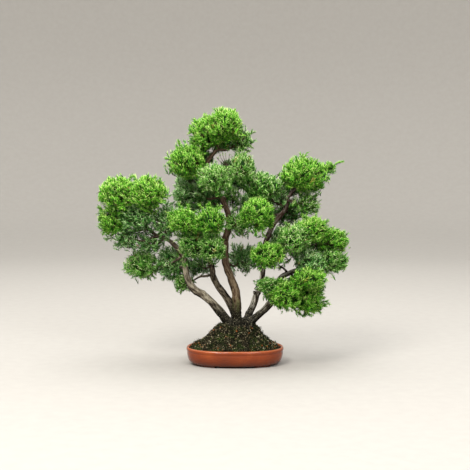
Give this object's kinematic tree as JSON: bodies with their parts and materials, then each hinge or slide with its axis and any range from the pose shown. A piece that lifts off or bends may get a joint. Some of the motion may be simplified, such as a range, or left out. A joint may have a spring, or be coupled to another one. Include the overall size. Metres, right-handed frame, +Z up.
{
  "type": "itoigawa juniper bonsai",
  "caption": "Potted juniper bonsai: a clump of curved trunks on a raised root mound, with cushions of fine scale-leaved foliage, in a shallow oval clay pot.",
  "frame": {"origin": "on the surface that the pot's feet stand on, straight under the middle of the pot, which is the middle of its raised underside", "axes": "+Z up, +X to the right and -Y to the front, the side the tree is meant to be looked at from; the pot's long side lies along X"},
  "size_m": [0.4195, 0.186, 0.4289],
  "materials": {
    "pot_clay": "satin",
    "screen_plastic": "matte",
    "soil": "matte",
    "bark": "matte",
    "foliage_sunlit": "matte",
    "foliage_green": "matte",
    "foliage_shaded": "matte"
  },
  "bodies": {
    "root": {"pot": "pot_clay", "drain_screen_left": "screen_plastic", "drain_screen_right": "screen_plastic", "soil_mound": "soil", "trunks_and_branches": "bark", "foliage_left_top_outer": "foliage_sunlit", "foliage_left_top_inner": "foliage_sunlit", "foliage_left_middle": "foliage_shaded", "foliage_left_rear": "foliage_shaded", "foliage_left_outer": "foliage_sunlit", "foliage_left_under": "foliage_shaded", "foliage_left_elbow": "foliage_shaded", "foliage_left_crook": "foliage_shaded", "foliage_low_left_tip": "foliage_green", "foliage_low_left_inner": "foliage_shaded", "foliage_low_left_drop": "foliage_green", "foliage_mid_top_left": "foliage_sunlit", "foliage_mid_top_right": "foliage_sunlit", "foliage_mid_low_left": "foliage_green", "foliage_mid_low_right": "foliage_green", "foliage_mid_back": "foliage_shaded", "foliage_mid_under": "foliage_shaded", "foliage_shade_left": "foliage_shaded", "foliage_shade_inner": "foliage_shaded", "foliage_crown_left": "foliage_sunlit", "foliage_crown_right": "foliage_sunlit", "foliage_crown_back": "foliage_shaded", "foliage_spur_left": "foliage_sunlit", "foliage_spur_inner": "foliage_green", "foliage_spur_right": "foliage_green", "foliage_shoulder_right": "foliage_green", "foliage_shoulder_front": "foliage_green", "foliage_shoulder_low": "foliage_green", "foliage_shoulder_back": "foliage_shaded", "foliage_heart_top": "foliage_green", "foliage_heart_front": "foliage_sunlit", "foliage_heart_left": "foliage_green", "foliage_heart_right": "foliage_shaded", "foliage_heart_back": "foliage_shaded", "foliage_fan_back": "foliage_shaded", "foliage_fan_front": "foliage_sunlit", "foliage_peak_left": "foliage_sunlit", "foliage_peak_right": "foliage_sunlit", "foliage_peak_tip": "foliage_sunlit", "foliage_peak_back": "foliage_shaded", "foliage_peak_under": "foliage_green", "foliage_peak_inner": "foliage_shaded", "foliage_wing_left": "foliage_green", "foliage_wing_top": "foliage_sunlit", "foliage_wing_right": "foliage_sunlit", "foliage_wing_low": "foliage_green", "foliage_wing_low_inner": "foliage_shaded", "foliage_wing_inner": "foliage_shaded", "foliage_wing_under": "foliage_green", "foliage_wing_back": "foliage_shaded", "foliage_skirt_top": "foliage_sunlit", "foliage_skirt_tip": "foliage_green", "foliage_skirt_left": "foliage_sunlit", "foliage_skirt_right": "foliage_sunlit", "foliage_skirt_back": "foliage_shaded"}
  },
  "joints": []
}
